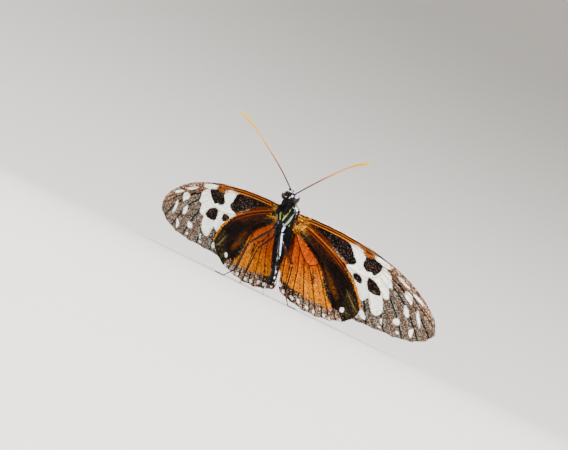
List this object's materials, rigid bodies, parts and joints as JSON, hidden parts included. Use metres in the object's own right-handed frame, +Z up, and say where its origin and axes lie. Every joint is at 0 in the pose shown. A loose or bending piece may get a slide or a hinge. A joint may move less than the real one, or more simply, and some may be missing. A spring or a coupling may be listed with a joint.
{
  "type": "tiger longwing butterfly",
  "caption": "Life-size still model of a tiger longwing butterfly standing with its body pitched up, wings spread open and antennae raised.",
  "frame": {"origin": "the centre of the bounding box in X and Y, on the floor that the feet stand on", "axes": "+X to the animal's left, along the span of the wings; -Y is where the head faces; +Z up"},
  "size_m": [0.084, 0.0313, 0.0382],
  "materials": {
    "body_scales": "black scales and short hair with cream-green stripes",
    "eye": "smooth glossy compound eye",
    "antenna_chitin": "dark shaft turning rust and then bright yellow to the club",
    "forewing_scales": "matt wing scales, orange, black and cream",
    "hindwing_scales": "matt wing scales, orange with a dark border",
    "leg_chitin": "satin black chitin with a bluish glint"
  },
  "bodies": {
    "root": {"thorax": "body_scales", "abdomen": "body_scales", "head": "body_scales", "eye_left": "eye", "eye_right": "eye", "palp_left": "body_scales", "palp_right": "body_scales", "proboscis": "leg_chitin", "antenna_left": "antenna_chitin", "antenna_right": "antenna_chitin", "forewing_left": "forewing_scales", "forewing_right": "forewing_scales", "hindwing_left": "hindwing_scales", "hindwing_right": "hindwing_scales", "foreleg_left": "leg_chitin", "foreleg_right": "leg_chitin", "midleg_left": "leg_chitin", "midleg_right": "leg_chitin", "hindleg_left": "leg_chitin", "hindleg_right": "leg_chitin"}
  },
  "joints": []
}
